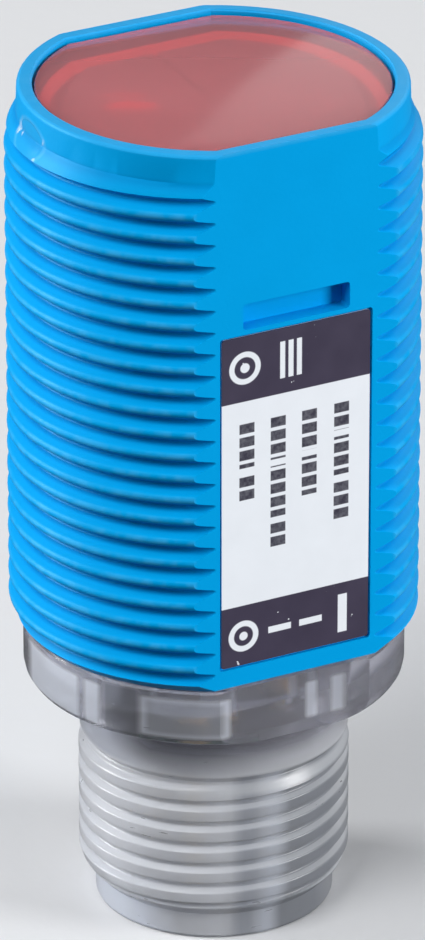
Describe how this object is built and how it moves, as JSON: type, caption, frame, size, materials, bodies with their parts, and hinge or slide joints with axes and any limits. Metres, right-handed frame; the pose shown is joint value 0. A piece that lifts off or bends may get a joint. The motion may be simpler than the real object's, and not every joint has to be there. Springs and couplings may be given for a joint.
{
  "type": "photoelectric sensor",
  "caption": "Short cylindrical photoelectric sensor: blue threaded sleeve with two flats, rose front screen on the axis and a clear threaded plug end with recessed pins.",
  "frame": {"origin": "centre of the plug's mouth, at the bottom of the part", "axes": "+Z along the sensor's axis towards the front screen; -Y is the normal of the flat that carries the label; +X completes the right-handed frame"},
  "size_m": [0.0178, 0.0148, 0.0385],
  "materials": {
    "sleeve_blue": "bright blue moulded plastic, satin, fine moulding texture",
    "screen_rose": "rose-tinted translucent acrylic, satin gloss",
    "seal_red": "saturated red bonding bead",
    "polariser_film": "dark pink polarising film",
    "lens_clear": "clear red-pass acrylic lens",
    "inner_black": "black glass-filled plastic",
    "led_white": "white light-emitting diode package",
    "chip_black": "black moulding compound",
    "tinned_sheet": "tinned steel sheet",
    "board_green": "green circuit-board laminate",
    "capacitor_ceramic": "tan ceramic body",
    "body_clear": "smoky clear moulded plastic, glossy",
    "seal_rubber": "black sealing rubber",
    "contact_gold": "gold-plated brass",
    "label_film": "printed film, white field between two dark bands"
  },
  "bodies": {
    "root": {"housing_sleeve": "sleeve_blue", "front_screen": "screen_rose", "screen_seal": "seal_red", "emitter_polariser": "polariser_film", "receiver_polariser": "polariser_film", "emitter_lens": "lens_clear", "receiver_lens": "lens_clear", "optics_carrier": "inner_black", "emitter_led": "led_white", "receiver_photodiode": "chip_black", "receiver_shield": "tinned_sheet", "optics_board": "board_green", "main_board": "board_green", "control_chip": "chip_black", "output_chip": "chip_black", "regulator_chip": "chip_black", "suppressor_diode": "chip_black", "capacitor_1": "capacitor_ceramic", "capacitor_2": "capacitor_ceramic", "capacitor_3": "capacitor_ceramic", "capacitor_4": "capacitor_ceramic", "power_led_front": "led_white", "power_led_rear": "led_white", "output_led_front": "led_white", "output_led_rear": "led_white", "board_frame": "inner_black", "rear_body": "body_clear", "rear_seal": "seal_rubber", "contact_carrier": "inner_black", "contact_pin_1": "contact_gold", "contact_pin_2": "contact_gold", "contact_pin_3": "contact_gold", "contact_pin_4": "contact_gold", "rating_label": "label_film"}
  },
  "joints": []
}
